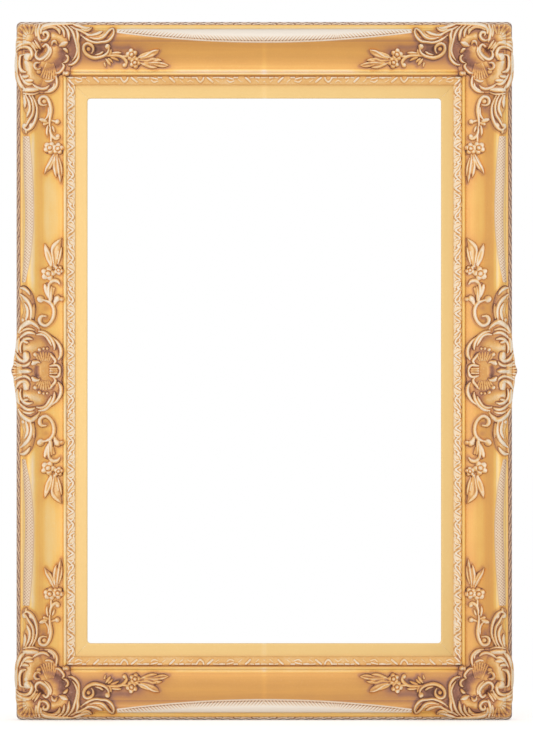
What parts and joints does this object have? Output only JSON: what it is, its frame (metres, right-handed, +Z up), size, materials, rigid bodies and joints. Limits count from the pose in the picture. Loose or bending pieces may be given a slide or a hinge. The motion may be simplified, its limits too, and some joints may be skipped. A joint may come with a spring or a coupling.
{
  "type": "picture frame",
  "caption": "Upright gilded picture frame with carved scroll corners, flower sprays, an inner slip and an open sight.",
  "frame": {"origin": "on the wall plane, on the frame's upright centre line, level with the hanger rings' pins", "axes": "+Z up along the long side, +X to the right seen from the front, +Y out of the back towards the wall"},
  "size_m": [0.613, 0.0504, 0.845],
  "materials": {
    "gilt_wood": "aged gilding over carved wood",
    "slip_gilding": "pale satin gilding",
    "brass": "dull",
    "steel": "zinc plated",
    "rubber": "matte"
  },
  "bodies": {
    "frame": {"rail_left": "gilt_wood", "lip_strip_left": "gilt_wood", "slip_left": "slip_gilding", "turn_button_screw_left": "steel", "rail_bottom": "gilt_wood", "lip_strip_bottom": "gilt_wood", "slip_bottom": "slip_gilding", "turn_button_screw_bottom": "steel", "rail_right": "gilt_wood", "lip_strip_right": "gilt_wood", "slip_right": "slip_gilding", "turn_button_screw_right": "steel", "rail_top": "gilt_wood", "lip_strip_top": "gilt_wood", "slip_top": "slip_gilding", "turn_button_screw_top": "steel", "corner_carving_top_left": "gilt_wood", "end_spray_top_left": "gilt_wood", "side_spray_top_left": "gilt_wood", "middle_spray_top_left": "gilt_wood", "side_crest_band_top_left": "gilt_wood", "corner_nail_top_left": "steel", "wall_bumper_top_left": "rubber", "corner_carving_top_right": "gilt_wood", "end_spray_top_right": "gilt_wood", "side_spray_top_right": "gilt_wood", "middle_spray_top_right": "gilt_wood", "side_crest_band_top_right": "gilt_wood", "corner_nail_top_right": "steel", "wall_bumper_top_right": "rubber", "corner_carving_bottom_left": "gilt_wood", "end_spray_bottom_left": "gilt_wood", "side_spray_bottom_left": "gilt_wood", "middle_spray_bottom_left": "gilt_wood", "side_crest_band_bottom_left": "gilt_wood", "corner_nail_bottom_left": "steel", "wall_bumper_bottom_left": "rubber", "corner_carving_bottom_right": "gilt_wood", "end_spray_bottom_right": "gilt_wood", "side_spray_bottom_right": "gilt_wood", "middle_spray_bottom_right": "gilt_wood", "side_crest_band_bottom_right": "gilt_wood", "corner_nail_bottom_right": "steel", "wall_bumper_bottom_right": "rubber", "middle_carving_left": "gilt_wood", "middle_carving_right": "gilt_wood", "crest_band_top": "gilt_wood", "crest_band_bottom": "gilt_wood", "hanger_strap_left": "steel", "hanger_screw_left_upper": "steel", "hanger_screw_left_lower": "steel", "hanger_strap_right": "steel", "hanger_screw_right_upper": "steel", "hanger_screw_right_lower": "steel"},
    "button_left": {"turn_button_left": "brass"},
    "button_bottom": {"turn_button_bottom": "brass"},
    "button_right": {"turn_button_right": "brass"},
    "button_top": {"turn_button_top": "brass"},
    "ring_left": {"hanger_ring_left": "steel"},
    "ring_right": {"hanger_ring_right": "steel"}
  },
  "joints": [
    {"name": "turn_button_left_turn", "type": "hinge", "parent": "frame", "child": "button_left", "pos_m": [-0.245, -0.0047, -0.2125], "axis": [0, 1, 0], "continuous": true},
    {"name": "turn_button_bottom_turn", "type": "hinge", "parent": "frame", "child": "button_bottom", "pos_m": [0, -0.0047, -0.57513], "axis": [0, 1, 0], "continuous": true},
    {"name": "turn_button_right_turn", "type": "hinge", "parent": "frame", "child": "button_right", "pos_m": [0.245, -0.0047, -0.2125], "axis": [0, 1, 0], "continuous": true},
    {"name": "turn_button_top_turn", "type": "hinge", "parent": "frame", "child": "button_top", "pos_m": [0, -0.0047, 0.15013], "axis": [0, 1, 0], "continuous": true},
    {"name": "hanger_ring_left_swing", "type": "hinge", "parent": "frame", "child": "ring_left", "pos_m": [-0.268, -0.00315, 0], "axis": [1, 0, 0], "range_deg": [0, 180]},
    {"name": "hanger_ring_right_swing", "type": "hinge", "parent": "frame", "child": "ring_right", "pos_m": [0.268, -0.00315, 0], "axis": [1, 0, 0], "range_deg": [0, 180]}
  ]
}
